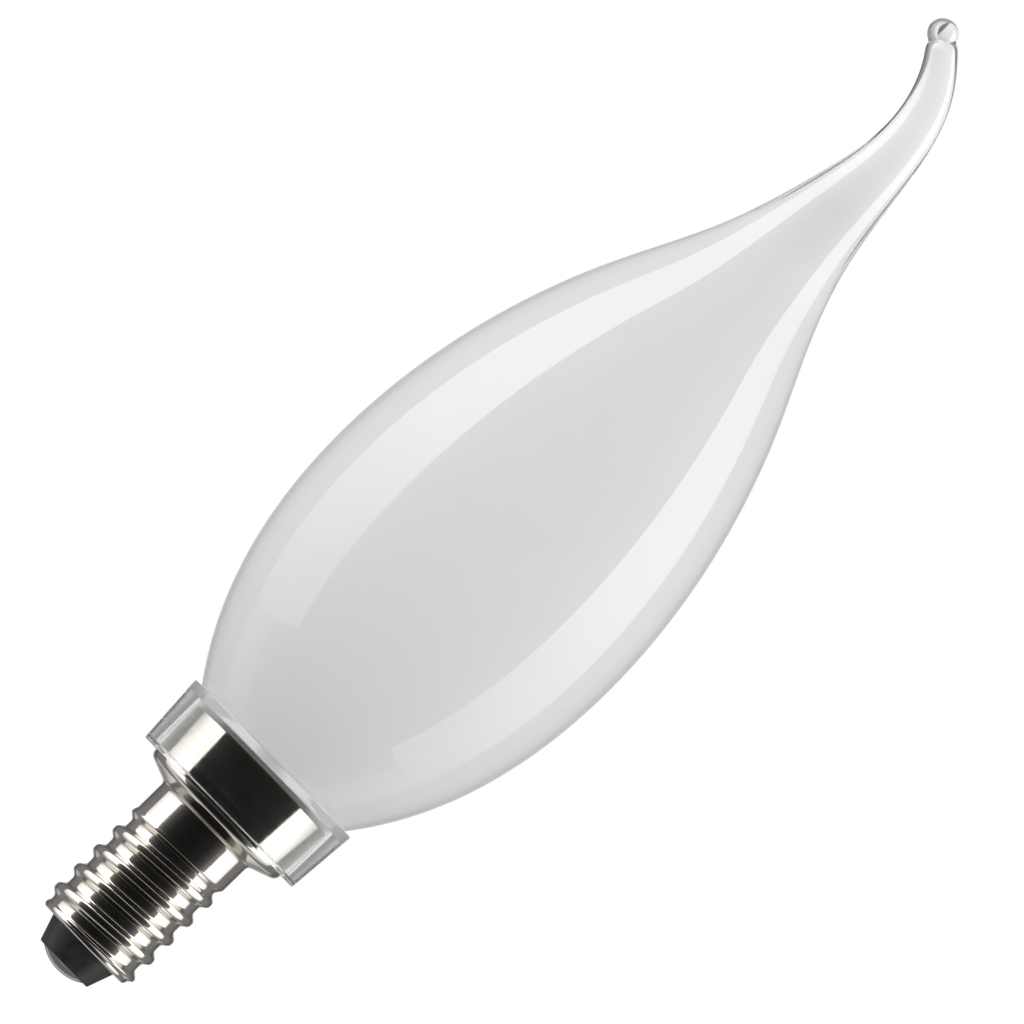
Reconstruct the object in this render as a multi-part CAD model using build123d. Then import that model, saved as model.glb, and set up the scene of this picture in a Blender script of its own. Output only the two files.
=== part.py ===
from build123d import *
from math import ceil, cos, pi, radians, sin
import os

# Candle bulb with a bent flame tip on an E12 screw base.
# Millimetres. Z runs up the bulb's axis from the foot of the end contact, and the tip bends towards -X.

# End contact: a domed disc let into the insulator
contact_d = 5.2
contact_rise = 0.83
contact_seat = 0.5

# Insulator: a plug in the shell's lower end with a tapered nose below it
insulator_rim = 0.5
insulator_rise = 2.6
insulator_plug = 1.6
insulator_fit = 0.05

# Screw shell: folded foot, rolled thread, plain barrel, flared throat and cup, drawn from one sheet
shell_wall = 0.35
foot_relief = 0.5
foot_round = 0.4
foot_fold = 0.75
thread_crest_d = 11.6
thread_depth = 0.65
thread_pitch = 2.54
thread_length = 12.5
thread_start = 295.0
thread_crest_power = 1.4
thread_fade_low = 0.5
thread_fade_top = 0.9
runout_step = 0.04
barrel_relief = 0.2
barrel_length = 3.15
throat_round = 0.5
throat_rise = 1.0
lip_d = 16.6
lip_round = 0.8
sharpest_round = 0.2
cup_height = 6.5
cup_flare = 0.3
rim_round = 0.2

# Clear collar round the cup: it grips the cup below, and its bevelled top holds the glass's heel
collar_gap = 0.55
collar_wall = 1.0
collar_flare = 0.525
collar_floor = 0.4
collar_rim_gap = 0.15
collar_lift = 0.65
collar_over = 0.4
collar_fit = 0.05

# Glass envelope: neck in the cup, heel on its rim, then the blown body and the bent tip
neck_fit = 0.1
neck_floor_gap = 1.5
heel_gap = 0.05
heel_width = 1.0
seat_rise = 0.9
seat_lean = 38.0
body_d = 35.0
body_rise = 26.9
shoulder_d = 22.0
shoulder_rise = 29.2
waist_d = 11.24
waist_rise = 12.0
stem_d = 5.14
stem_rise = 14.0
bend_start = 10.0
bend_rise = 25.7
bend_sway = 2.0
bend_offset = 3.59
tip_d = 3.1
tip_lean = 5.9
bead_d = 2.95
bead_offset = 1.75
groove_round = 0.4

# Heights of the seats, from the contact up
z_insulator = contact_rise
z_foot = z_insulator + insulator_rise
z_thread = z_foot + foot_round
z_barrel = z_thread + thread_length
z_throat = z_barrel + barrel_length
z_lip = z_throat + throat_rise
z_rim = z_lip + cup_height
z_seat = z_rim + seat_rise
z_collar = z_lip + collar_lift
z_collar_top = z_seat + collar_over
z_body = z_seat + body_rise
z_shoulder = z_body + shoulder_rise
z_waist = z_shoulder + waist_rise
z_stem = z_waist + stem_rise
z_bend = z_shoulder + bend_start

# Radii that neighbouring pieces share
crest_r = thread_crest_d / 2
root_r = crest_r - thread_depth
bore_r = root_r - shell_wall
mouth_r = bore_r - foot_fold
foot_r = crest_r - foot_relief
barrel_r = crest_r - barrel_relief
lip_r = lip_d / 2
rim_r = lip_r + cup_flare
neck_r = lip_r - shell_wall - neck_fit
heel_r = rim_r - shell_wall
seat_r = heel_r + heel_width
heel_slope = (seat_rise - heel_gap) / heel_width
collar_foot_r = lip_r + collar_gap + collar_wall
collar_top_r = collar_foot_r + collar_flare

# Fineness of the lofted surfaces
thread_sections_per_turn = 8
thread_points = 16
glass_sections = 24


def spin(outline):
    """Solid of revolution about Z from a closed outline drawn as (radius, height)."""
    return revolve(Plane.XZ * outline, Axis.Z)


def spin_polygon(*points):
    """Solid of revolution from a straight-sided outline."""
    return spin(make_face(Polyline(*points, close=True)))


def disc(r, low, high):
    """Plain round plug between two heights."""
    return spin_polygon((0, low), (r, low), (r, high), (0, high))


def corner(outline, point):
    """The outline's vertex nearest to a point."""
    return outline.vertices().sort_by_distance(point)[0]


def end_contact():
    """Domed disc, flat on top where it sits in the insulator."""
    r = contact_d / 2
    top = contact_rise + contact_seat
    dome = TangentArc((0, 0), (r, contact_rise), tangent=(1, 0))
    back = Polyline((r, contact_rise), (r, top), (0, top), (0, 0))
    return spin(make_face([dome, back]))


def insulator():
    """Tapered nose below the shell, waist through its foot and plug inside it."""
    waist_r = mouth_r - insulator_fit
    plug_r = bore_r - insulator_fit
    ledge = z_foot + shell_wall + insulator_fit
    body = spin_polygon(
        (0, z_insulator),
        (contact_d / 2 + insulator_rim, z_insulator),
        (waist_r, z_foot),
        (waist_r, ledge),
        (plug_r, ledge),
        (plug_r, ledge + insulator_plug),
        (0, ledge + insulator_plug),
    )
    return body - disc(contact_d / 2 + insulator_fit, z_insulator, z_insulator + contact_seat)


def fade(share):
    """Smooth step from 0 to 1."""
    share = min(max(share, 0.0), 1.0)
    return share * share * (3 - 2 * share)


def thread_section(height):
    """Cross-section of the rolled thread, run out into plain rounds at both ends."""
    up = height - z_thread
    crest_angle = radians(thread_start) + 2 * pi * up / thread_pitch
    low = fade(up / thread_fade_low)
    top = fade((thread_length - up) / thread_fade_top)
    plain_r = foot_r if low < 1 else barrel_r - runout_step
    points = []
    for i in range(thread_points):
        angle = 2 * pi * i / thread_points
        swell = fade(((1 + cos(angle - crest_angle)) / 2) ** thread_crest_power)
        r = plain_r + low * top * (root_r + thread_depth * swell - plain_r)
        points.append((r * cos(angle), r * sin(angle), height))
    return make_face(Spline(points, periodic=True))


def thread():
    """Right-hand round thread, ruled between cross-sections whose crest turns with the height."""
    count = ceil(thread_sections_per_turn * thread_length / thread_pitch)
    sections = [thread_section(z_thread + thread_length * i / count) for i in range(count + 1)]
    return loft(sections, ruled=True)


def folded_foot():
    """Rounded end below the thread, where the sheet folds in under the insulator's plug."""
    outer_r = foot_r + runout_step
    turn = TangentArc((outer_r - foot_round, z_foot), (outer_r, z_thread), tangent=(1, 0))
    flat = Polyline((outer_r, z_thread), (0, z_thread), (0, z_foot), (outer_r - foot_round, z_foot))
    return spin(make_face([turn, flat]))


def drawn_outline(inset):
    """Half-section of barrel, throat and cup, moved in by inset from the outer face."""
    slope = throat_rise / (lip_r - barrel_r)
    lift = inset * (1 + slope * slope) ** 0.5
    throat = (barrel_r - inset, z_throat - inset * slope + lift)
    lip = (lip_r - inset, z_throat + (lip_r - inset - barrel_r) * slope + lift)
    outline = make_face(Polyline(
        (0, z_barrel),
        (barrel_r - inset, z_barrel),
        throat,
        lip,
        (rim_r - inset, z_rim),
        (0, z_rim),
        close=True,
    ))
    outline = fillet(corner(outline, throat), throat_round + inset)
    return fillet(corner(outline, lip), max(lip_round - inset, sharpest_round))


def screw_shell():
    """Drawn shell: folded foot, rolled thread, barrel, throat and cup round one open bore."""
    z_fold = z_foot + shell_wall
    bore = disc(mouth_r, z_foot, z_fold) + disc(bore_r, z_fold, z_barrel)
    cup = drawn_outline(0)
    cup = spin(fillet(corner(cup, (rim_r, z_rim)), rim_round)) - spin(drawn_outline(shell_wall))
    return (thread() - bore).fuse(folded_foot() - bore, cup)


def clear_collar():
    """Tapered clear ring: a floor that grips the cup, a pocket round it and a bevel along the glass's heel."""
    slope = collar_flare / (z_collar_top - z_collar)
    z_floor = z_collar + collar_floor
    bevel_r = seat_r + collar_fit
    pocket_r = rim_r + collar_rim_gap
    ring = spin_polygon(
        (0, z_collar),
        (collar_foot_r, z_collar),
        (collar_top_r, z_collar_top),
        (0, z_collar_top),
    )
    inside = spin_polygon(
        (0, z_floor),
        (collar_foot_r + slope * collar_floor - collar_wall, z_floor),
        (pocket_r, z_seat - (bevel_r - pocket_r) * heel_slope),
        (bevel_r + collar_over / heel_slope, z_collar_top),
        (0, z_collar_top),
    )
    return ring - inside - spin(drawn_outline(-collar_fit))


def bend_curve():
    """Centreline of the bent tip: it leaves the bulb's axis without a kink, sways to +X and curls to -X."""
    return Bezier(
        (0, 0, z_bend),
        (0, 0, z_bend + bend_rise / 4),
        (0, 0, z_bend + bend_rise / 2),
        (bend_sway, 0, z_bend + bend_rise * 3 / 4),
        (-bend_offset, 0, z_bend + bend_rise),
    )


def cross_plane(bend, distance):
    """Plane square to the centreline, at a distance along it from the contact's foot."""
    if distance <= z_bend:
        return Plane((0, 0, distance))
    along = distance - z_bend
    origin = bend.position_at(along, position_mode=PositionMode.LENGTH)
    tangent = bend.tangent_at(along, position_mode=PositionMode.LENGTH)
    return Plane(origin, x_dir=Vector(0, 1, 0).cross(tangent), z_dir=tangent)


def flame_body(bend):
    """Blown body from the collar's seat to the end of the bent tip, lofted along the centreline."""
    lean_in = (sin(radians(seat_lean)), 0, cos(radians(seat_lean)))
    lean_out = (-sin(radians(tip_lean)), 0, cos(radians(tip_lean)))
    tip_end = z_bend + bend.length
    outline = Spline(
        (seat_r, 0, z_seat),
        (body_d / 2, 0, z_body),
        (shoulder_d / 2, 0, z_shoulder),
        (waist_d / 2, 0, z_waist),
        (stem_d / 2, 0, z_stem),
        (tip_d / 2, 0, tip_end),
        tangents=(lean_in, lean_out),
    )
    sections = []
    for i in range(glass_sections + 1):
        point = outline @ (i / glass_sections)
        sections.append(cross_plane(bend, min(point.Z, tip_end)) * Circle(point.X))
    return loft(sections)


def tip_bead(bend):
    """Drop of glass that closes the tip, with the groove where it meets the round end."""
    reach = tip_d + bead_d + bead_offset
    quarter = Rectangle(reach, reach, align=(Align.MIN, Align.MIN))
    outline = (Circle(tip_d / 2) + Pos(0, bead_offset) * Circle(bead_d / 2)) & quarter
    outline = fillet(corner(outline, (tip_d / 2, bead_offset / 2)), groove_round)
    return cross_plane(bend, z_bend + bend.length) * spin(outline)


def glass_envelope():
    """One blown piece: neck, heel, body, bent tip and bead."""
    bend = bend_curve()
    z_neck = z_lip + neck_floor_gap
    neck = spin_polygon(
        (0, z_neck),
        (neck_r, z_neck),
        (neck_r, z_seat - (seat_r - neck_r) * heel_slope),
        (seat_r, z_seat),
        (0, z_seat),
    )
    return neck + flame_body(bend) + tip_bead(bend)


os.makedirs("parts", exist_ok=True)
export_step(end_contact(), "parts/end_contact.step")
export_step(insulator(), "parts/insulator.step")
export_step(screw_shell(), "parts/screw_shell.step")
export_step(clear_collar(), "parts/clear_collar.step")
export_step(glass_envelope(), "parts/glass_envelope.step")
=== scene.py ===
from math import acos, atan2, ceil, cos, pi, radians, sin, tan

import bpy
import numpy as np
from mathutils import Matrix, Vector


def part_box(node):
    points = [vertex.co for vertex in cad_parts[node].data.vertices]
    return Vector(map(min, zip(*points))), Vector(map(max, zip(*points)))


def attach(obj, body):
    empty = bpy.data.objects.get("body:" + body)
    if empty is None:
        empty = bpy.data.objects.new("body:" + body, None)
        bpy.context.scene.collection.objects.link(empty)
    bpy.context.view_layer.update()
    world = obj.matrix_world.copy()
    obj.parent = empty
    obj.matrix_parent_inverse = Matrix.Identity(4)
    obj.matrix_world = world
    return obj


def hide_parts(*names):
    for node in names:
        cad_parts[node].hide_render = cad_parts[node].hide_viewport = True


# Looks of the candle bulb with a bent flame tip. Metres, in the CAD part's frame: Z runs up the bulb's axis
# from the foot of the end contact, and the tip bends towards -X.

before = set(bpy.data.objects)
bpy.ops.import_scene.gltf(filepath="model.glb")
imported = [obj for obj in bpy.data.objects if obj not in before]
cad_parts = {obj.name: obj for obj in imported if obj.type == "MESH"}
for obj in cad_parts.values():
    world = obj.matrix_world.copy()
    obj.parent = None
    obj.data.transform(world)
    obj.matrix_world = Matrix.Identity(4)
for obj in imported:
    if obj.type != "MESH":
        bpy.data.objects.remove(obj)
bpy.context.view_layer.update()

# Places read from the frame
_, contact_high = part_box("end_contact")
insulator_low, insulator_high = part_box("insulator")
shell_low, shell_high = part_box("screw_shell")
collar_low, collar_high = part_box("clear_collar")
glass_low, glass_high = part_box("glass_envelope")

# End contact
CONTACT_R = contact_high.x
CONTACT_RISE = insulator_low.z
CONTACT_EDGE = 0.00012

# Insulator
INSULATOR_FIT = 0.00005
INSULATOR_NOSE_R = 0.0031
INSULATOR_WAIST_R = 0.0040
INSULATOR_LEDGE = 0.0004
INSULATOR_NOSE_EDGE = 0.00018
INSULATOR_SOFT_EDGE = 0.0001
INSULATOR_PLUG_EDGE = 0.0002

# Screw shell
SHELL_WALL = 0.00035
MOUTH_R = 0.00405
BORE_R = 0.0048
FOOT_R = 0.00534
FOOT_ROUND = 0.0004
THREAD_CREST_R = 0.0058
THREAD_DEPTH = 0.00065
THREAD_PITCH = 0.00254
THREAD_LENGTH = 0.0125
THREAD_START = radians(295)
THREAD_CREST_POWER = 1.4
THREAD_FADE_LOW = 0.0005
THREAD_FADE_TOP = 0.0009
BARREL_R = 0.0056
BARREL_LENGTH = 0.00315
THROAT_RISE = 0.001
THROAT_ROUND = 0.0005
THROAT_ROUND_INSIDE = THROAT_ROUND + SHELL_WALL
LIP_R = 0.0083
LIP_ROUND = 0.0008
LIP_ROUND_INSIDE = 0.00045
RIM_R = shell_high.x
RIM_EDGE = 0.00012
Z_THREAD = shell_low.z + FOOT_ROUND
Z_BARREL = Z_THREAD + THREAD_LENGTH
Z_THROAT = Z_BARREL + BARREL_LENGTH
Z_LIP = Z_THROAT + THROAT_RISE

# Clear collar. The bevel's faces are known by how far their normals point up
COLLAR_FOOT_R = 0.00985
COLLAR_WALL = 0.001
COLLAR_FLOOR = 0.0004
COLLAR_FIT = 0.00005
COLLAR_RIM_GAP = 0.00015
COLLAR_EDGE = 0.0001
COLLAR_GRIP_EDGE = COLLAR_EDGE / 2
COLLAR_POCKET_EDGE = 2 * COLLAR_EDGE
COLLAR_BEVEL_UP_LEAST = 0.5
COLLAR_BEVEL_UP_MOST = 0.9

# Glass
Z_SEAT = 0.02788
SEAT_R = 0.00925
SEAT_EDGE = 0.0001
SEAT_RUN = 4 * SEAT_EDGE
NECK_R = 0.00785
NECK_EDGE = 0.0003
HEEL_SLOPE = 0.85
HEEL_ROUND = 0.0002
Z_HEEL = Z_SEAT - (SEAT_R - NECK_R) * HEEL_SLOPE
Z_BEND = 0.09398
BEND_RISE = 0.0257
BEND_SWAY = 0.002
BEND_OFFSET = 0.00359
BEND_WEIGHTS = (1, 4, 6, 4, 1)
TIP_R = 0.00155
BEAD_R = 0.001475
BEAD_OFFSET = 0.00175
GROOVE_ROUND = 0.0004

# Frosting on the inside of the glass. Places are distances along the glass's centreline
FROST_WALL = 0.0008
FROST_RIM = (0.00055, 0.00015)
FROST_RIM_PLACES = (0.098, 0.112)
FROST_DRAWN_FROM = 0.089
FROST_DRAWN_TO = 0.097
FROST_FOOT = 0.0002
FROST_SHIFT = 0.0001
FROST_SHIFT_FROM = 0.108
FROST_NECK_R = 0.0002
FROST_END = 0.0006
FROST_DOME_R = 0.0007
FROST_DOME_SHIFT = 0.00036
# Depth in the bead's dome where the painted shade crescent fades out at its lower end
FROST_PAINTED_SHADE_DROP = 0.9 * FROST_DOME_R

# Fineness of the meshes
ROUND_SEGMENTS = 192
ROUND_ANGLES = np.arange(ROUND_SEGMENTS) * 2 * pi / ROUND_SEGMENTS
ON_AXIS = 1e-9
ARC_STEP = radians(9)
ARC_LEAST_STEPS = 3
DOME_STEP = radians(2)
THREAD_STEP = THREAD_PITCH / 40
SUPPORT = 0.00008
SUPPORTED_RUN = 4 * SUPPORT
GLASS_STEP = 0.0005
CENTRELINE_POINTS = 1201
PROFILE_STEP = 0.0002
PROFILE_ROW = 2 * PROFILE_STEP
PROFILE_BLUR = 0.0006
PROFILE_BLUR_REACH = 3 * PROFILE_BLUR
PROFILE_SEAT_SLACK = 1e-6
PROFILE_TIP_SLACK = 1e-5
GROOVE_POINTS = 9
BEAD_POINTS = 32
FROST_END_POINTS = 8
FROST_DOME_POINTS = 18
FLOOR_SEGMENTS = 96

# Finishes. Ramps are (place, grey or colour) stops. Roughness runs from low to high over the noise's middle
WHITE = (1, 1, 1, 1)
NOISE_LOW = 0.25
NOISE_HIGH = 0.75
GLASS_IOR = 1.5
GLASS_ROUGHNESS = (0.015, 0.05)
PLASTIC_IOR = 1.49
PLASTIC_TINT = ((0.3, (0.90, 0.905, 0.905)), (0.7, (0.94, 0.94, 0.94)))
PLASTIC_ROUGHNESS = (0.02, 0.07)
SEAT_CLEARNESS = 0.42
WALL_RELEASE = 0.4
BRIGHT_NICKEL = ((0.3, (0.60, 0.57, 0.52)), (0.7, (0.68, 0.65, 0.60)))
BRIGHT_ROUGHNESS = (0.06, 0.14)
# Painted shade: the end contact's nickel is darker than bright nickel, standing in for the dark reflection in
# its dome
CONTACT_NICKEL_PAINTED_DARK = ((0.3, (0.30, 0.29, 0.27)), (0.7, (0.40, 0.38, 0.35)))
CONTACT_NICKEL_ROUGHNESS = (0.05, 0.11)
MOULDING_BLACK = ((0.3, (0.012, 0.012, 0.013)), (0.7, (0.032, 0.031, 0.031)))
MOULDING_ROUGHNESS = (0.32, 0.55)
# Painted light and shade by height past the bend: a little darker just above it, then whiter up the tip
FROST_WHITE_AND_PAINTED_LIGHT = (
    (0.0, (0.815, 0.811, 0.802)), (0.14, (0.80, 0.797, 0.79)), (0.28, (0.80, 0.80, 0.795)),
    (0.46, (0.87, 0.87, 0.87)), (0.65, (0.93, 0.93, 0.93)),
)
FROST_CLOUDS = ((0.3, 0.985), (0.7, 1.0))
# Painted shade: grey crescent on the outer side of the frosting's dome in the bead
FROST_PAINTED_SHADE = ((0.0, 0.24), (0.3, 0.24), (0.45, 1.0))
FROST_ROUGHNESS = 0.9
FROST_SPECULAR = 0.1
FLOOR_PAPER = ((0.0, 0.80), (1.0, 0.81))

# Camera of the photo
TARGET = Vector((-0.00088, 0.0, 0.06051))
CAMERA_DISTANCE = 1.2
CAMERA_ELEVATION = radians(-2.2)
AXIS_IN_PICTURE = radians(44.34)
PICTURE_WIDTH = 0.09615
SENSOR = 36.0

# Floor and softboxes. Side -1 is the softbox at -X, side 1 the one at +X
FLOOR_Z = -0.016
FLOOR_R = 3.0
FLOOR_GLOW = 0.31
SOFTBOX_X = 0.35
SOFTBOX_HIGH = 0.8
SOFTBOX_FRONT = -0.158
SOFTBOX_FRONT_FOOT = {-1: -0.19, 1: -0.165}
SOFTBOX_FRONT_TOP = {-1: -0.11, 1: -0.09}
SOFTBOX_BACK = 0.134
SOFTBOX_FRONT_LOW = {-1: -0.205, 1: -0.238}
SOFTBOX_BACK_LOW = {-1: -0.112, 1: -0.130}
SOFTBOX_RADIANCE = 4.0
SOFTBOX_RISE = ((0.0, 0.33), (0.155, 0.42), (0.265, 0.67), (0.335, 0.88), (0.42, 1.0), (1.0, 0.9))
SOFTBOX_FALL = ((0.0, 1.0), (0.5, 0.86), (1.0, 0.55))
SOFTBOX_SCREEN = 0.03
SOFTBOX_CLEAR_LOW = 0.05
SOFTBOX_CLEAR_HIGH = 0.07

# Surroundings, as ramps over the direction: SOFT_UPWARD and the shares run from below to above, the others
# from front to back
AMBIENT = 1.99
SOFT_BACKWARD = ((0.0, 0.56), (0.5, 0.8), (0.68, 0.86), (0.85, 0.7), (1.0, 0.3))
SOFT_UPWARD = (
    (0.0, 0.0), (0.2, 0.42), (0.35, 0.79), (0.45, 1.0), (0.55, 0.995), (0.7, 0.77), (1.0, 0.41),
)
GLOSS_ROOM = (
    (0.0, 0.008), (0.1, 0.02), (0.15, 0.045), (0.19, 0.08), (0.22, 0.12), (0.26, 0.24), (0.34, 0.27),
    (0.8, 0.27), (0.9, 0.21), (0.96, 0.1), (1.0, 0.5),
)
GLOSS_TABLE = (
    (0.0, 0.012), (0.28, 0.02), (0.45, 0.35), (0.5, 0.8), (0.65, 0.8), (0.72, 0.28), (0.88, 0.28),
    (0.93, 0.85), (1.0, 0.9),
)
GLOSS_TABLE_SHARE = ((0.0, 1.0), (0.27, 1.0), (0.35, 0.0))
GLOSS_CEILING = 0.8
GLOSS_CEILING_SHARE = ((0.93, 0.0), (0.96, 1.0))
CLEAR_ROOM = (
    (0.0, 0.012), (0.3, 0.02), (0.36, 0.1), (0.62, 0.12), (0.72, 0.22), (0.85, 0.28), (0.93, 0.46),
    (0.98, 1.0),
)
CLEAR_TABLE = ((0.0, 0.1), (0.36, 0.3), (0.42, 1.0), (0.69, 1.0), (0.75, 0.28))
CLEAR_TABLE_SHARE = ((0.2, 1.0), (0.3, 0.0))


# Meshes

def rounded(points, radii):
    """Outline of (radius, height) points with its corners turned into arcs that touch both sides."""
    outline = []
    for i, (point, radius) in enumerate(zip(points, radii)):
        point = np.array(point, float)
        if radius == 0:
            outline.append(point)
            continue
        before = np.array(points[i - 1], float) - point
        after = np.array(points[(i + 1) % len(points)], float) - point
        before /= np.linalg.norm(before)
        after /= np.linalg.norm(after)
        half = acos(np.clip(before @ after, -1, 1)) / 2
        middle = (before + after) / np.linalg.norm(before + after)
        centre = point + middle * radius / sin(half)
        start = point + before * radius / tan(half) - centre
        end = point + after * radius / tan(half) - centre
        turn = atan2(start[0] * end[1] - start[1] * end[0], start @ end)
        steps = max(ARC_LEAST_STEPS, ceil(abs(turn) / ARC_STEP))
        for step in range(steps + 1):
            c, s = cos(turn * step / steps), sin(turn * step / steps)
            outline.append(centre + (start[0] * c - start[1] * s, start[0] * s + start[1] * c))
    return outline


def supported(outline, closed):
    """The outline with extra points close to the ends of its long straight runs, which keep them flat."""
    result = []
    count = len(outline)
    for i, point in enumerate(outline):
        result.append(point)
        if i == count - 1 and not closed:
            break
        run = outline[(i + 1) % count] - point
        length = np.linalg.norm(run)
        if length > SUPPORTED_RUN:
            result.append(point + run * SUPPORT / length)
            result.append(point + run * (1 - SUPPORT / length))
    return result


def linked(name, data):
    """New object in the scene."""
    made = bpy.data.objects.new(name, data)
    bpy.context.scene.collection.objects.link(made)
    return made


def skin(name, rings, material, closed=False):
    """Smooth mesh through rings of points, in which a ring of one point is a pole.

    Closed joins the last ring to the first.
    """
    vertices = []
    starts = []
    for ring in rings:
        starts.append(len(vertices))
        vertices.extend(tuple(point) for point in ring)
    faces = []
    for low in range(len(rings) if closed else len(rings) - 1):
        high = (low + 1) % len(rings)
        segments = max(len(rings[low]), len(rings[high]))
        for j in range(segments):
            k = (j + 1) % segments
            corners = [starts[low] + j % len(rings[low]), starts[low] + k % len(rings[low])]
            corners += [starts[high] + k % len(rings[high]), starts[high] + j % len(rings[high])]
            faces.append(tuple(dict.fromkeys(corners)))
    mesh = bpy.data.meshes.new(name)
    mesh.from_pydata(vertices, [], faces)
    mesh.polygons.foreach_set("use_smooth", [True] * len(mesh.polygons))
    mesh.materials.append(material)
    return linked(name, mesh)


def sheet(name, corners, material):
    """Flat object of one face."""
    mesh = bpy.data.meshes.new(name)
    mesh.from_pydata(corners, [], [tuple(range(len(corners)))])
    mesh.materials.append(material)
    return linked(name, mesh)


def level_ring(r, z):
    """Ring of points about Z at one height, or one point on the axis.

    The radius is one number, or one for each angle.
    """
    if np.ndim(r) == 0 and r < ON_AXIS:
        return [(0.0, 0.0, z)]
    return np.column_stack((r * np.cos(ROUND_ANGLES), r * np.sin(ROUND_ANGLES), np.full(ROUND_SEGMENTS, z)))


def lathe(name, outline, material, closed):
    """Surface of revolution about Z."""
    return skin(name, [level_ring(r, z) for r, z in supported(outline, closed)], material, closed)


# Nodes

def add(tree, kind, inputs=None, **settings):
    """New shader node. Its inputs are values, or outputs of other nodes that are linked in."""
    made = tree.nodes.new(kind)
    for key, value in settings.items():
        setattr(made, key, value)
    for key, value in (inputs or {}).items():
        if isinstance(value, bpy.types.NodeSocket):
            tree.links.new(value, made.inputs[key])
        else:
            made.inputs[key].default_value = value
    return made


def new_material(name):
    """Material with an empty node tree and its output."""
    material = bpy.data.materials.new(name)
    material.use_nodes = True
    tree = material.node_tree
    tree.nodes.clear()
    return material, tree, add(tree, "ShaderNodeOutputMaterial")


def axes(tree, coordinates):
    """X, Y and Z of a kind of coordinates."""
    place = add(tree, "ShaderNodeTexCoord").outputs[coordinates]
    return add(tree, "ShaderNodeSeparateXYZ", {"Vector": place}).outputs


def spots(tree, scale, detail, stretch=(1, 1, 1)):
    """Noise between 0 and 1 over the object's own coordinates."""
    place = add(tree, "ShaderNodeTexCoord").outputs["Object"]
    mapped = add(tree, "ShaderNodeMapping", {"Vector": place, "Scale": stretch}).outputs["Vector"]
    wanted = {"Vector": mapped, "Scale": scale, "Detail": detail}
    return add(tree, "ShaderNodeTexNoise", wanted).outputs["Fac"]


def between(tree, noise, low, high):
    """Number that runs from low to high with the noise."""
    wanted = {"Value": noise, "From Min": NOISE_LOW, "From Max": NOISE_HIGH, "To Min": low, "To Max": high}
    return add(tree, "ShaderNodeMapRange", wanted).outputs["Result"]


def share(tree, value, low, high):
    """How far a value lies from low to high, as a number from 0 to 1."""
    wanted = {"Value": value, "From Min": low, "From Max": high}
    return add(tree, "ShaderNodeMapRange", wanted).outputs["Result"]


def product(tree, first, second):
    """Product of two numbers."""
    return add(tree, "ShaderNodeMath", {0: first, 1: second}, operation="MULTIPLY").outputs[0]


def tones(tree, factor, *stops):
    """Colour ramp of (place, grey or colour) stops."""
    ramp = add(tree, "ShaderNodeValToRGB", {"Fac": factor})
    elements = ramp.color_ramp.elements
    while len(elements) < len(stops):
        elements.new(1.0)
    for element, (place, colour) in zip(elements, stops):
        element.position = place
        if isinstance(colour, (int, float)):
            colour = (colour,) * 3
        element.color = (*colour, 1)
    return ramp.outputs["Color"]


def grey(level):
    """Colour of one level."""
    return (level, level, level, 1)


def mix(tree, factor, first, second, blend="MIX"):
    """Colour that goes from the first colour to the second with the factor."""
    wanted = {0: factor, 6: first, 7: second}
    return add(tree, "ShaderNodeMix", wanted, data_type="RGBA", blend_type=blend).outputs[2]


def multiply(tree, first, second):
    """Product of two colours."""
    return mix(tree, 1.0, first, second, blend="MULTIPLY")


def bump(tree, height, depth, strength):
    """Normal that follows a height map."""
    wanted = {"Height": height, "Distance": depth, "Strength": strength}
    return add(tree, "ShaderNodeBump", wanted).outputs["Normal"]


def see_through(tree, glass, release=0.0):
    """Clear shader for what the camera looks through. Shadows and scattered light pass straight.

    A share of the light that is thrown about inside the piece can be let out straight too.
    """
    path = add(tree, "ShaderNodeLightPath")
    open_air = add(tree, "ShaderNodeBsdfTransparent").outputs[0]
    loose = add(tree, "ShaderNodeMixShader", {0: release, 1: glass, 2: open_air}).outputs[0]
    ways = {"Is Reflection Ray": loose, "Is Diffuse Ray": open_air, "Is Shadow Ray": open_air}
    for ray, way in ways.items():
        glass = add(tree, "ShaderNodeMixShader", {0: path.outputs[ray], 1: glass, 2: way}).outputs[0]
    return glass


# Materials

def clear_glass():
    """Blown glass, polished, with slow waves in its surface and faint smears."""
    material, tree, output = new_material("clear_glass")
    waves = spots(tree, scale=60.0, detail=1.0)
    smears = spots(tree, scale=140.0, detail=4.0, stretch=(1, 1, 0.4))
    shader = add(tree, "ShaderNodeBsdfPrincipled", {
        "Base Color": WHITE,
        "Roughness": between(tree, smears, *GLASS_ROUGHNESS),
        "IOR": GLASS_IOR,
        "Transmission Weight": 1.0,
        "Normal": bump(tree, waves, depth=0.00006, strength=0.1),
    })
    tree.links.new(see_through(tree, shader.outputs[0]), output.inputs["Surface"])
    return material


def bead_painted_shade(tree, place):
    """White, with a thin grey crescent painted on the bead's outer side, as painted shade along the edge of
    the frosting's dome there.
    """
    line = centreline()
    x, _, z = cross_ring(line, tip_end(line) + BEAD_OFFSET, 0.0, FROST_DOME_SHIFT)[0]
    toward_shade = share(tree, place["X"], x - FROST_DOME_R, x)
    shade_in_bead = share(tree, place["Z"], z - FROST_DOME_R, z - FROST_PAINTED_SHADE_DROP)
    return mix(tree, shade_in_bead, WHITE, tones(tree, toward_shade, *FROST_PAINTED_SHADE))


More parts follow.
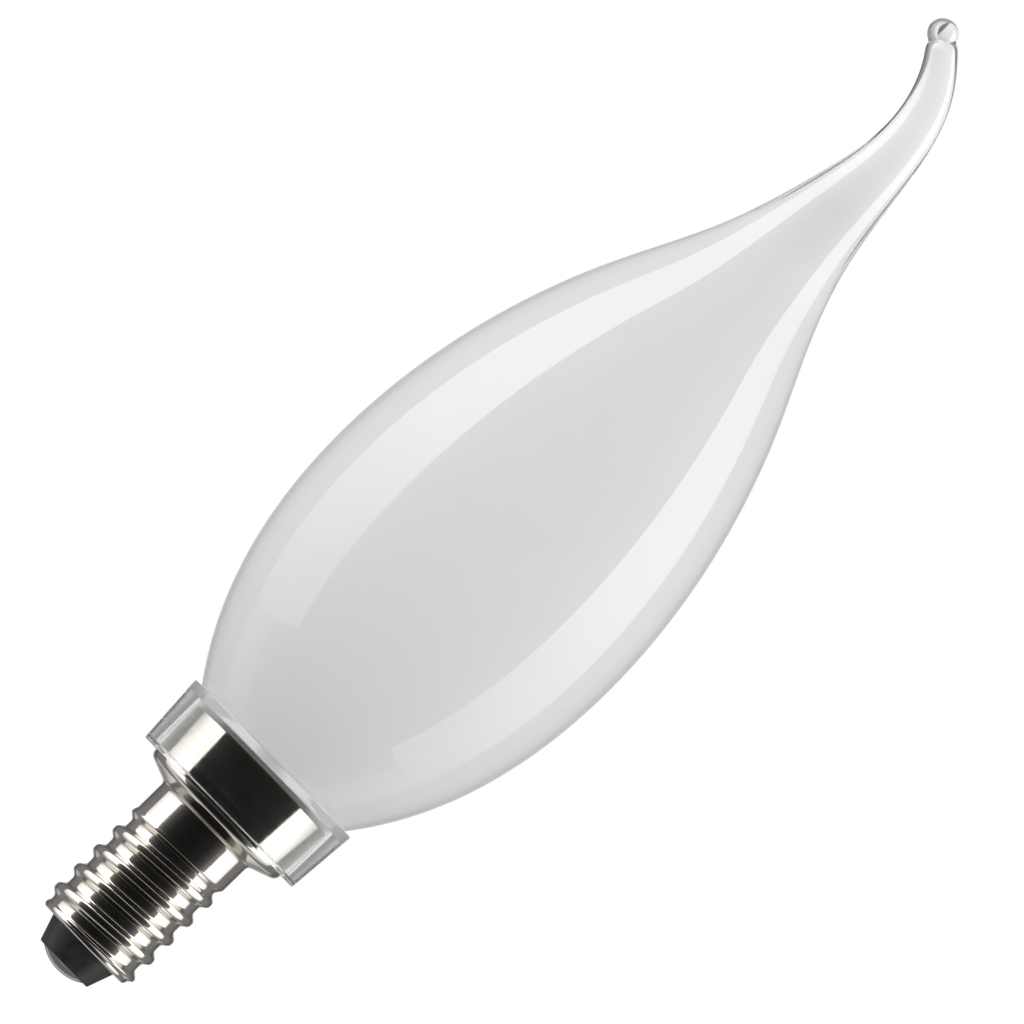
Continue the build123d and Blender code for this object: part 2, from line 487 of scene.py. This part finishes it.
def frosting():
    """Fine white powder, a little uneven, with painted light that makes it whiter up the tip and painted
    shade at the bead.
    """
    material, tree, output = new_material("frosting")
    place = axes(tree, "Object")
    up = share(tree, place["Z"], Z_BEND, glass_high.z)
    clouds = spots(tree, scale=90.0, detail=4.0)
    # Painted light: the colour gets whiter up the tip, by height past the bend
    colour = multiply(tree, tones(tree, up, *FROST_WHITE_AND_PAINTED_LIGHT), tones(tree, clouds, *FROST_CLOUDS))
    grain = spots(tree, scale=9000.0, detail=2.0)
    shader = add(tree, "ShaderNodeBsdfPrincipled", {
        # Painted shade: the bead's grey crescent darkens the frosting's colour
        "Base Color": multiply(tree, colour, bead_painted_shade(tree, place)),
        "Roughness": FROST_ROUGHNESS,
        "Specular IOR Level": FROST_SPECULAR,
        "Normal": bump(tree, grain, depth=0.00001, strength=0.3),
    })
    tree.links.new(shader.outputs[0], output.inputs["Surface"])
    return material


def nickel(name, tints, roughness):
    """Nickel plate, bright or painted darker, with fine marks round the axis from drawing and rolling."""
    material, tree, output = new_material(name)
    marks = spots(tree, scale=300.0, detail=5.0, stretch=(0.15, 0.15, 14))
    patches = spots(tree, scale=260.0, detail=3.0)
    shader = add(tree, "ShaderNodeBsdfPrincipled", {
        "Base Color": tones(tree, patches, *tints),
        "Metallic": 1.0,
        "Roughness": between(tree, marks, *roughness),
        "Normal": bump(tree, marks, depth=0.000012, strength=0.25),
    })
    tree.links.new(shader.outputs[0], output.inputs["Surface"])
    return material


def clear_plastic(name, clearness=1.0, release=0.0):
    """Moulded plastic with faint flow lines, clear or partly matt."""
    material, tree, output = new_material(name)
    flow = spots(tree, scale=220.0, detail=2.0, stretch=(1, 1, 0.25))
    haze = spots(tree, scale=500.0, detail=4.0)
    shader = add(tree, "ShaderNodeBsdfPrincipled", {
        "Base Color": tones(tree, haze, *PLASTIC_TINT),
        "Roughness": between(tree, haze, *PLASTIC_ROUGHNESS),
        "IOR": PLASTIC_IOR,
        "Transmission Weight": clearness,
        "Normal": bump(tree, flow, depth=0.00005, strength=0.12),
    })
    tree.links.new(see_through(tree, shader.outputs[0], release), output.inputs["Surface"])
    return material


def black_moulding():
    """Satin black moulding, a little mottled."""
    material, tree, output = new_material("black_moulding")
    mottle = spots(tree, scale=900.0, detail=5.0)
    grain = spots(tree, scale=5000.0, detail=3.0)
    shader = add(tree, "ShaderNodeBsdfPrincipled", {
        "Base Color": tones(tree, mottle, *MOULDING_BLACK),
        "Roughness": between(tree, grain, *MOULDING_ROUGHNESS),
        "Normal": bump(tree, grain, depth=0.00003, strength=0.4),
    })
    tree.links.new(shader.outputs[0], output.inputs["Surface"])
    return material


# Pieces

def end_contact(material):
    """Domed disc with a rounded edge."""
    dome_r = (CONTACT_R ** 2 + CONTACT_RISE ** 2) / (2 * CONTACT_RISE)
    reach = acos(1 - CONTACT_RISE / dome_r)
    steps = ceil(reach / DOME_STEP)
    angles = [reach * i / steps for i in range(steps)]
    dome = [np.array((dome_r * sin(a), dome_r * (1 - cos(a)))) for a in angles]
    edge = [tuple(dome[-1]), (CONTACT_R, CONTACT_RISE), (CONTACT_R, contact_high.z), (0.0, contact_high.z)]
    outline = dome[:-1] + rounded(edge, [0, CONTACT_EDGE, 0, 0])
    return lathe("contact_dome", outline, material, closed=False)


def insulator(material):
    """Tapered nose with soft edges, waist and plug."""
    seat_z = contact_high.z
    ledge_z = shell_low.z + INSULATOR_LEDGE
    recess_r = CONTACT_R + INSULATOR_FIT
    points = [
        (0.0, seat_z),
        (recess_r, seat_z),
        (recess_r, insulator_low.z),
        (INSULATOR_NOSE_R, insulator_low.z),
        (INSULATOR_WAIST_R, shell_low.z),
        (INSULATOR_WAIST_R, ledge_z),
        (insulator_high.x, ledge_z),
        (insulator_high.x, insulator_high.z),
        (0.0, insulator_high.z),
    ]
    nose = [INSULATOR_SOFT_EDGE, INSULATOR_NOSE_EDGE, INSULATOR_SOFT_EDGE]
    edges = [0, 0, *nose, 0, 0, INSULATOR_PLUG_EDGE, 0]
    return lathe("insulator_body", rounded(points, edges), material, closed=False)


def fade(step):
    """Smooth step from 0 to 1."""
    step = np.clip(step, 0.0, 1.0)
    return step * step * (3 - 2 * step)


def thread_radius(z):
    """Radii round the axis at one height of the rolled right-hand thread."""
    up = z - Z_THREAD
    crest_angle = THREAD_START + 2 * pi * up / THREAD_PITCH
    swell = fade(((1 + np.cos(ROUND_ANGLES - crest_angle)) / 2) ** THREAD_CREST_POWER)
    low = fade(up / THREAD_FADE_LOW)
    top = fade((THREAD_LENGTH - up) / THREAD_FADE_TOP)
    plain = FOOT_R if low < 1 else BARREL_R
    return plain + low * top * (THREAD_CREST_R - THREAD_DEPTH * (1 - swell) - plain)


def drawn_outline():
    """Outside of barrel, throat and cup from the thread up, and their inner face down to the folded foot."""
    slope = THROAT_RISE / (LIP_R - BARREL_R)
    lift = SHELL_WALL * (1 + slope * slope) ** 0.5
    fold = shell_low.z + SHELL_WALL
    throat_inside = Z_THROAT - SHELL_WALL * slope + lift
    lip_inside = Z_THROAT + (LIP_R - SHELL_WALL - BARREL_R) * slope + lift
    corners = [
        (BARREL_R, Z_BARREL, 0),
        (BARREL_R, Z_THROAT, THROAT_ROUND),
        (LIP_R, Z_LIP, LIP_ROUND),
        (RIM_R, shell_high.z, RIM_EDGE),
        (RIM_R - SHELL_WALL, shell_high.z, RIM_EDGE),
        (LIP_R - SHELL_WALL, lip_inside, LIP_ROUND_INSIDE),
        (BARREL_R - SHELL_WALL, throat_inside, THROAT_ROUND_INSIDE),
        (BARREL_R - SHELL_WALL, Z_BARREL, 0),
        (BORE_R, Z_BARREL, 0),
        (BORE_R, fold, 0),
        (MOUTH_R, fold, 0),
    ]
    return rounded([(r, z) for r, z, _ in corners], [edge for _, _, edge in corners])


def screw_shell(material):
    """Folded foot, rolled thread, barrel, throat and cup, with the inner face, as one sheet."""
    foot = [(MOUTH_R, shell_low.z), (FOOT_R, shell_low.z), (FOOT_R, Z_THREAD)]
    foot = rounded(foot, [0, FOOT_ROUND, 0])
    rings = [level_ring(r, z) for r, z in supported(foot, closed=False)[:-1]]
    steps = ceil(THREAD_LENGTH / THREAD_STEP)
    heights = [Z_THREAD + THREAD_LENGTH * i / steps for i in range(steps)]
    rings += [level_ring(thread_radius(z), z) for z in heights]
    rings += [level_ring(r, z) for r, z in supported(drawn_outline(), closed=False)]
    return skin("plated_cap", rings, material, closed=True)


def clear_collar(material, seat_material, wall_material):
    """Tapered clear ring with softened edges, on the cup below and, by its matt bevel, on the glass above."""
    slope = (collar_high.x - COLLAR_FOOT_R) / (collar_high.z - collar_low.z)
    cup_slope = (RIM_R - LIP_R) / (shell_high.z - Z_LIP)
    z_floor = collar_low.z + COLLAR_FLOOR
    grip_low = LIP_R + COLLAR_FIT + cup_slope * (collar_low.z - Z_LIP)
    grip_high = LIP_R + COLLAR_FIT + cup_slope * (z_floor - Z_LIP)
    seat = SEAT_R + COLLAR_FIT
    pocket_top = RIM_R + COLLAR_RIM_GAP
    z_bevel = Z_SEAT - (seat - pocket_top) * HEEL_SLOPE
    corners = [
        (grip_low, collar_low.z, COLLAR_GRIP_EDGE),
        (COLLAR_FOOT_R, collar_low.z, COLLAR_EDGE),
        (collar_high.x, collar_high.z, COLLAR_EDGE),
        (seat + (collar_high.z - Z_SEAT) / HEEL_SLOPE, collar_high.z, COLLAR_EDGE),
        (pocket_top, z_bevel, COLLAR_EDGE),
        (COLLAR_FOOT_R + slope * COLLAR_FLOOR - COLLAR_WALL, z_floor, COLLAR_POCKET_EDGE),
        (grip_high, z_floor, COLLAR_GRIP_EDGE),
    ]
    outline = rounded([(r, z) for r, z, _ in corners], [edge for _, _, edge in corners])
    ring = lathe("collar_ring", outline, material, closed=True)
    ring.data.materials.append(seat_material)
    ring.data.materials.append(wall_material)
    for face in ring.data.polygons:
        up = abs(face.normal.z)
        if face.center.z > z_bevel and COLLAR_BEVEL_UP_LEAST < up < COLLAR_BEVEL_UP_MOST:
            face.material_index = 1
        elif face.center.xy.length > COLLAR_FOOT_R - COLLAR_EDGE and up < COLLAR_BEVEL_UP_LEAST:
            face.material_index = 2
    return ring


def centreline():
    """Centreline of the glass from the neck to beyond the bead.

    Gives distances along it, and the places and leans there in the XZ plane.
    """
    bend_x = np.array((0, 0, 0, BEND_SWAY, -BEND_OFFSET))
    bend_z = Z_BEND + BEND_RISE * np.arange(5) / 4
    part = np.linspace(0, 1, CENTRELINE_POINTS)[:, None]
    weights = np.array(BEND_WEIGHTS) * part ** np.arange(5) * (1 - part) ** np.arange(4, -1, -1)
    tip = np.array((bend_x[4] - bend_x[3], bend_z[4] - bend_z[3]))
    tip = tip / np.hypot(*tip) * (BEAD_OFFSET + BEAD_R)
    x = np.concatenate(((0.0,), weights @ bend_x, (bend_x[4] + tip[0],)))
    z = np.concatenate(((glass_low.z,), weights @ bend_z, (bend_z[4] + tip[1],)))
    along = glass_low.z + np.concatenate(((0,), np.cumsum(np.hypot(np.diff(x), np.diff(z)))))
    lean = np.arctan2(np.gradient(x, along), np.gradient(z, along))
    lean[-2:] = atan2(*tip)
    return along, x, z, lean


def tip_end(line):
    """Distance along the centreline to the end of the bend, where the round end and the bead start."""
    return line[0][-2]


def cross_ring(line, place, r, shift=0.0):
    """Ring square to the centreline at a distance along it, moved sideways within the plane of the bend."""
    along, x, z, lean = line
    tilt = np.interp(place, along, lean)
    middle_x = np.interp(place, along, x)
    middle_z = np.interp(place, along, z)
    if r < ON_AXIS:
        return [(middle_x + shift * cos(tilt), 0.0, middle_z - shift * sin(tilt))]
    side = shift + r * np.cos(ROUND_ANGLES)
    across = r * np.sin(ROUND_ANGLES)
    return np.column_stack((middle_x + side * cos(tilt), across, middle_z - side * sin(tilt)))


def measured_radii(line):
    """Distances along the centreline and radii of the points of the CAD glass."""
    along, x, z, _ = line
    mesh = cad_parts["glass_envelope"].data
    flat = np.empty(len(mesh.vertices) * 3, np.float32)
    mesh.vertices.foreach_get("co", flat)
    points = flat.reshape(-1, 3).astype(float)
    place = points[:, 2].copy()
    r = np.hypot(points[:, 0], points[:, 1])
    bent = np.flatnonzero(place > Z_BEND)
    gaps = (points[bent, :1] - x[1:-1]) ** 2 + (points[bent, 2:] - z[1:-1]) ** 2
    nearest = gaps.argmin(axis=1)
    place[bent] = along[1:-1][nearest]
    r[bent] = np.sqrt(gaps[np.arange(len(bent)), nearest] + points[bent, 1] ** 2)
    return place, r


def blurred(profile):
    """The profile smoothed by a bell curve, with both of its ends kept."""
    reach = ceil(PROFILE_BLUR_REACH / PROFILE_STEP)
    low = 2 * profile[0] - profile[reach:0:-1]
    high = 2 * profile[-1] - profile[-2:-reach - 2:-1]
    kernel = np.exp(-0.5 * (np.arange(-reach, reach + 1) * PROFILE_STEP / PROFILE_BLUR) ** 2)
    return np.convolve(np.concatenate((low, profile, high)), kernel / kernel.sum(), mode="valid")


def glass_profile(line):
    """Distances along the centreline from the seat to the tip's end, and smooth radii of the CAD glass."""
    place, r = measured_radii(line)
    end = tip_end(line)
    kept = (place > Z_SEAT - PROFILE_SEAT_SLACK) & (place < end - PROFILE_TIP_SLACK) & (r > TIP_R / 2)
    row = np.round((place[kept] - Z_SEAT) / PROFILE_ROW).astype(int)
    count = np.bincount(row)
    rows = count > 0
    known = np.bincount(row, place[kept])[rows] / count[rows]
    radii = np.bincount(row, r[kept])[rows] / count[rows]
    places = np.arange(Z_SEAT, end, PROFILE_STEP)
    return places, blurred(np.interp(places, np.append(known, end), np.append(radii, TIP_R)))


def bead_outline():
    """Round end of the tip, hollow groove and bead, as radii and distances past the end of the tip."""
    tip_reach = TIP_R + GROOVE_ROUND
    bead_reach = BEAD_R + GROOVE_ROUND
    groove_z = (tip_reach ** 2 - bead_reach ** 2 + BEAD_OFFSET ** 2) / (2 * BEAD_OFFSET)
    groove_r = (tip_reach ** 2 - groove_z ** 2) ** 0.5
    low = atan2(groove_z, groove_r)
    high = atan2(groove_z - BEAD_OFFSET, groove_r)
    outline = [(TIP_R * cos(a), TIP_R * sin(a)) for a in np.linspace(0, low, GROOVE_POINTS)]
    for a in np.linspace(low, high, GROOVE_POINTS)[1:-1]:
        outline.append((groove_r - GROOVE_ROUND * cos(a), groove_z - GROOVE_ROUND * sin(a)))
    for a in np.linspace(high, pi / 2, BEAD_POINTS):
        outline.append((BEAD_R * cos(a), BEAD_OFFSET + BEAD_R * sin(a)))
    return outline


def glass_skin(material):
    """Outer face of the glass: neck, heel, body, bent tip, groove and bead."""
    line = centreline()
    places, radii = glass_profile(line)
    end = tip_end(line)
    start = Z_SEAT + SEAT_RUN
    lower = rounded([
        (0.0, glass_low.z),
        (NECK_R, glass_low.z),
        (NECK_R, Z_HEEL),
        (SEAT_R, Z_SEAT),
        (np.interp(start, places, radii), start),
    ], [0, NECK_EDGE, HEEL_ROUND, SEAT_EDGE, 0])
    rings = [level_ring(r, z) for r, z in supported(lower, closed=False)]
    steps = ceil((end - start) / GLASS_STEP)
    for place in np.linspace(start, end, steps + 1)[1:]:
        rings.append(cross_ring(line, place, np.interp(place, places, radii)))
    for r, up in bead_outline()[1:]:
        rings.append(cross_ring(line, end + up, r))
    return skin("glass_skin", rings, material)


def frost_radius(r, place):
    """Radius of the frosting inside glass of radius r.

    In the drawn tip the wall is thick, and a clear rim shows along the outline.
    """
    thin = r - FROST_WALL
    drawn = (r - np.interp(place, FROST_RIM_PLACES, FROST_RIM)) / GLASS_IOR
    part = fade((place - FROST_DRAWN_FROM) / (FROST_DRAWN_TO - FROST_DRAWN_FROM))
    return min(thin, thin + part * (drawn - thin))


def frost_coat(material):
    """Closed white surface inside the glass, from just above the heel up, with a small dome in the bead."""
    line = centreline()
    places, radii = glass_profile(line)
    end = tip_end(line)
    foot = Z_SEAT + FROST_FOOT
    rings = [level_ring(0.0, foot)]
    for place in np.linspace(foot, end, ceil((end - foot) / GLASS_STEP)):
        shift = FROST_SHIFT * fade((place - FROST_SHIFT_FROM) / (end - FROST_SHIFT_FROM))
        rings.append(cross_ring(line, place, frost_radius(np.interp(place, places, radii), place), shift))
    end_r = np.interp(end, places, radii) - FROST_WALL
    for angle in np.linspace(0, pi / 2, FROST_END_POINTS)[1:-1]:
        r = FROST_NECK_R + (end_r - FROST_NECK_R) * cos(angle)
        rings.append(cross_ring(line, end + FROST_END * sin(angle), r, FROST_SHIFT))
    low = -acos(FROST_NECK_R / FROST_DOME_R)
    for angle in np.linspace(low, pi / 2, FROST_DOME_POINTS):
        up = end + BEAD_OFFSET + FROST_DOME_R * sin(angle)
        rings.append(cross_ring(line, up, FROST_DOME_R * cos(angle), FROST_DOME_SHIFT))
    return skin("frost_coat", rings, material)


# Stage

def photo_camera():
    """Camera square to the bulb, a little from below, rolled so that the bulb lies across the picture."""
    data = bpy.data.cameras.new("photo_camera")
    data.sensor_width = SENSOR
    data.lens = SENSOR * CAMERA_DISTANCE / PICTURE_WIDTH
    camera = linked("photo_camera", data)
    forward = Vector((0, cos(CAMERA_ELEVATION), -sin(CAMERA_ELEVATION)))
    up = Vector((0, sin(CAMERA_ELEVATION), cos(CAMERA_ELEVATION)))
    right = Vector((1, 0, 0))
    picture_x = cos(AXIS_IN_PICTURE) * up + sin(AXIS_IN_PICTURE) * right
    picture_y = sin(AXIS_IN_PICTURE) * up - cos(AXIS_IN_PICTURE) * right
    turned = Matrix((picture_x, picture_y, -forward)).transposed().to_4x4()
    camera.matrix_world = Matrix.Translation(TARGET - forward * CAMERA_DISTANCE) @ turned
    bpy.context.scene.camera = camera


def soft_light(tree, backward, upward):
    """Light from all round that matt surfaces get."""
    soft = multiply(tree, tones(tree, backward, *SOFT_BACKWARD), tones(tree, upward, *SOFT_UPWARD))
    return multiply(tree, soft, grey(AMBIENT))


def gloss_room(tree, backward, upward):
    """Room that gloss shows: dark in front, with a table below and a pale ceiling."""
    room = tones(tree, backward, *GLOSS_ROOM)
    table = tones(tree, backward, *GLOSS_TABLE)
    walls = mix(tree, tones(tree, upward, *GLOSS_TABLE_SHARE), room, table)
    return mix(tree, tones(tree, upward, *GLOSS_CEILING_SHARE), walls, grey(GLOSS_CEILING))


def clear_room(tree, backward, upward):
    """Room that shows through glass and clear plastic: white straight behind, with a table below."""
    room = tones(tree, backward, *CLEAR_ROOM)
    table = tones(tree, backward, *CLEAR_TABLE)
    return mix(tree, tones(tree, upward, *CLEAR_TABLE_SHARE), room, table)


def studio_world():
    """Surroundings by kind of ray: soft light, rooms for gloss and for glass, and white for the camera."""
    world = bpy.data.worlds.new("studio")
    bpy.context.scene.world = world
    world.use_nodes = True
    tree = world.node_tree
    tree.nodes.clear()
    direction = axes(tree, "Generated")
    ways = (share(tree, direction["Y"], -1.0, 1.0), share(tree, direction["Z"], -1.0, 1.0))
    rays = add(tree, "ShaderNodeLightPath").outputs
    lit = mix(tree, rays["Is Glossy Ray"], soft_light(tree, *ways), gloss_room(tree, *ways))
    lit = mix(tree, rays["Is Transmission Ray"], lit, clear_room(tree, *ways))
    shown = mix(tree, rays["Is Camera Ray"], lit, WHITE)
    background = add(tree, "ShaderNodeBackground", {"Color": shown, "Strength": 1.0})
    output = add(tree, "ShaderNodeOutputWorld")
    tree.links.new(background.outputs[0], output.inputs["Surface"])


def softbox_light(side):
    """Light of a panel: dimmer towards its foot and its back, and dim higher up for what is behind glass."""
    material, tree, output = new_material("softbox_light")
    place = axes(tree, "Object")
    upward = share(tree, place["Z"], SOFTBOX_FRONT_LOW[side], SOFTBOX_HIGH)
    backward = share(tree, place["Y"], SOFTBOX_FRONT, SOFTBOX_BACK)
    glow = multiply(tree, tones(tree, upward, *SOFTBOX_RISE), tones(tree, backward, *SOFTBOX_FALL))
    through = add(tree, "ShaderNodeLightPath").outputs["Is Transmission Ray"]
    screened = product(tree, through, share(tree, place["Z"], SOFTBOX_CLEAR_LOW, SOFTBOX_CLEAR_HIGH))
    glow = mix(tree, screened, glow, grey(SOFTBOX_SCREEN))
    shader = add(tree, "ShaderNodeEmission", {"Color": glow, "Strength": SOFTBOX_RADIANCE})
    tree.links.new(shader.outputs[0], output.inputs["Surface"])
    return material


def softbox(side):
    """Tall lit panel beside the bulb that neither the camera nor matt surfaces see."""
    x = side * SOFTBOX_X
    panel = sheet("softbox", [
        (x, SOFTBOX_FRONT_FOOT[side], SOFTBOX_FRONT_LOW[side]),
        (x, SOFTBOX_BACK, SOFTBOX_BACK_LOW[side]),
        (x, SOFTBOX_BACK, SOFTBOX_HIGH),
        (x, SOFTBOX_FRONT_TOP[side], SOFTBOX_HIGH),
    ], softbox_light(side))
    panel.visible_camera = False
    panel.visible_diffuse = False
    panel.visible_shadow = False


def pale_floor():
    """Pale matt paper with a little glow of its own, which only the camera sees."""
    material, tree, output = new_material("pale_floor")
    paper = spots(tree, scale=30.0, detail=2.0)
    matt = add(tree, "ShaderNodeBsdfDiffuse", {"Color": tones(tree, paper, *FLOOR_PAPER)})
    seen = add(tree, "ShaderNodeLightPath").outputs["Is Camera Ray"]
    lift = add(tree, "ShaderNodeEmission", {"Color": WHITE, "Strength": product(tree, seen, FLOOR_GLOW)})
    total = add(tree, "ShaderNodeAddShader", {0: matt.outputs[0], 1: lift.outputs[0]})
    tree.links.new(total.outputs[0], output.inputs["Surface"])
    return material


def floor():
    """Floor below the bulb that shows white to the camera and keeps the bulb's shadow."""
    angles = np.arange(FLOOR_SEGMENTS) * 2 * pi / FLOOR_SEGMENTS
    rim = [(FLOOR_R * cos(a), FLOOR_R * sin(a), FLOOR_Z) for a in angles]
    disc = sheet("floor", rim, pale_floor())
    disc.visible_diffuse = False
    disc.visible_glossy = False
    disc.visible_transmission = False


def place(piece, node, slot):
    """Ties a piece to the part: it rides on the root body and stands for a CAD node."""
    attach(piece, "root")
    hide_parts(node)


bright = nickel("bright_nickel", BRIGHT_NICKEL, BRIGHT_ROUGHNESS)
# Painted shade: darker nickel for the end contact
contact_nickel = nickel("nickel_painted_dark", CONTACT_NICKEL_PAINTED_DARK, CONTACT_NICKEL_ROUGHNESS)

place(end_contact(contact_nickel), "end_contact", "contact_metal")
place(insulator(black_moulding()), "insulator", "black_insulator")
place(screw_shell(bright), "screw_shell", "plated_shell")
collar = clear_collar(
    clear_plastic("clear_plastic"),
    clear_plastic("seat_plastic", clearness=SEAT_CLEARNESS),
    clear_plastic("wall_plastic", release=WALL_RELEASE),
)
place(collar, "clear_collar", "clear_plastic")
place(glass_skin(clear_glass()), "glass_envelope", "frosted_glass")

coat = frost_coat(frosting())
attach(coat, "root")

photo_camera()
studio_world()
softbox(-1)
softbox(1)
floor()
bpy.context.scene.view_settings.view_transform = "Standard"
